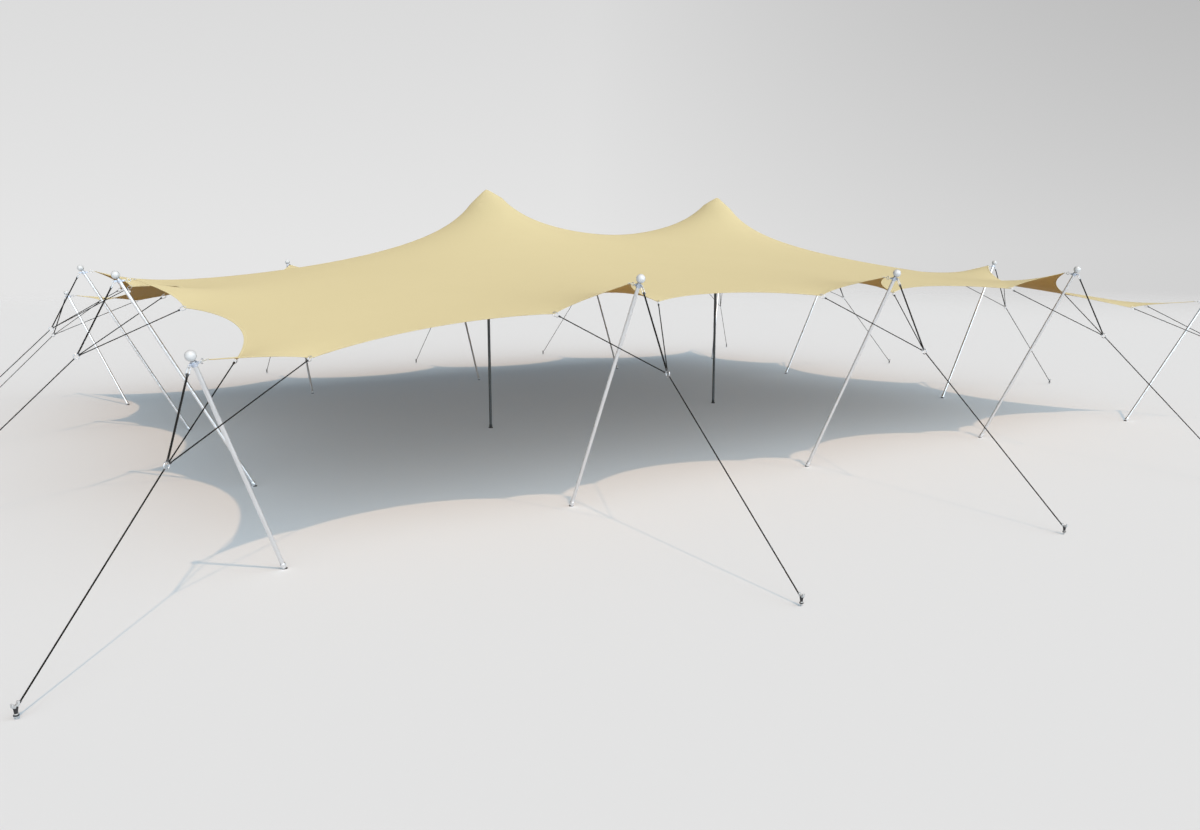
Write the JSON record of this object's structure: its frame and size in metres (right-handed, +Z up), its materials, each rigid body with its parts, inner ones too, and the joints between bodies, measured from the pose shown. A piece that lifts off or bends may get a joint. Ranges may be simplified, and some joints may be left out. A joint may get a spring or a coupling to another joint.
{
  "type": "stretch tent",
  "caption": "Two-peak stretch tent: one cream canopy on upright main poles, held out by leaning side poles with ball tops, each guyed to a ground stake.",
  "frame": {"origin": "middle of the tent's ground plan at floor level: the centre of the box round all stakes", "axes": "+X along the tent's length, through both peaks' side; +Y to the back; +Z up. The front, -Y, is the long side nearest the camera in the picture"},
  "size_m": [19.396, 16.876, 3.618],
  "materials": {
    "canopy_cloth": "coated knitted stretch cloth, cream, matt",
    "main_pole_metal": "dull anodised tube",
    "pole_metal": "brushed tube, with a white plastic ball and bright steel fittings",
    "rope": "black braided rope and webbing",
    "stake_metal": "dark coated steel with a bare crown",
    "ball_plastic": "white ball",
    "fitting_steel": "shackles, rings and collars"
  },
  "bodies": {
    "root": {"canopy": "canopy_cloth", "main_pole_left": "main_pole_metal", "main_pole_right": "main_pole_metal", "pole_front_left": "pole_metal", "guy_front_left": "rope", "stake_front_left": "stake_metal", "pole_front_middle": "pole_metal", "guy_front_middle": "rope", "stake_front_middle": "stake_metal", "pole_front_right": "pole_metal", "guy_front_right": "rope", "stake_front_right": "stake_metal", "pole_front_left_corner": "pole_metal", "guy_front_left_corner": "rope", "stake_front_left_corner": "stake_metal", "pole_front_right_corner": "pole_metal", "guy_front_right_corner": "rope", "stake_front_right_corner": "stake_metal", "pole_back_left": "pole_metal", "guy_back_left": "rope", "stake_back_left": "stake_metal", "pole_back_middle": "pole_metal", "guy_back_middle": "rope", "stake_back_middle": "stake_metal", "pole_back_right": "pole_metal", "guy_back_right": "rope", "stake_back_right": "stake_metal", "pole_back_left_corner": "pole_metal", "guy_back_left_corner": "rope", "stake_back_left_corner": "stake_metal", "pole_back_right_corner": "pole_metal", "guy_back_right_corner": "rope", "stake_back_right_corner": "stake_metal", "pole_left_end_front": "pole_metal", "guy_left_end_front": "rope", "stake_left_end_front": "stake_metal", "pole_left_end_back": "pole_metal", "guy_left_end_back": "rope", "stake_left_end_back": "stake_metal", "pole_right_end_front": "pole_metal", "guy_right_end_front": "rope", "stake_right_end_front": "stake_metal", "pole_right_end_back": "pole_metal", "guy_right_end_back": "rope", "stake_right_end_back": "stake_metal"}
  },
  "joints": []
}
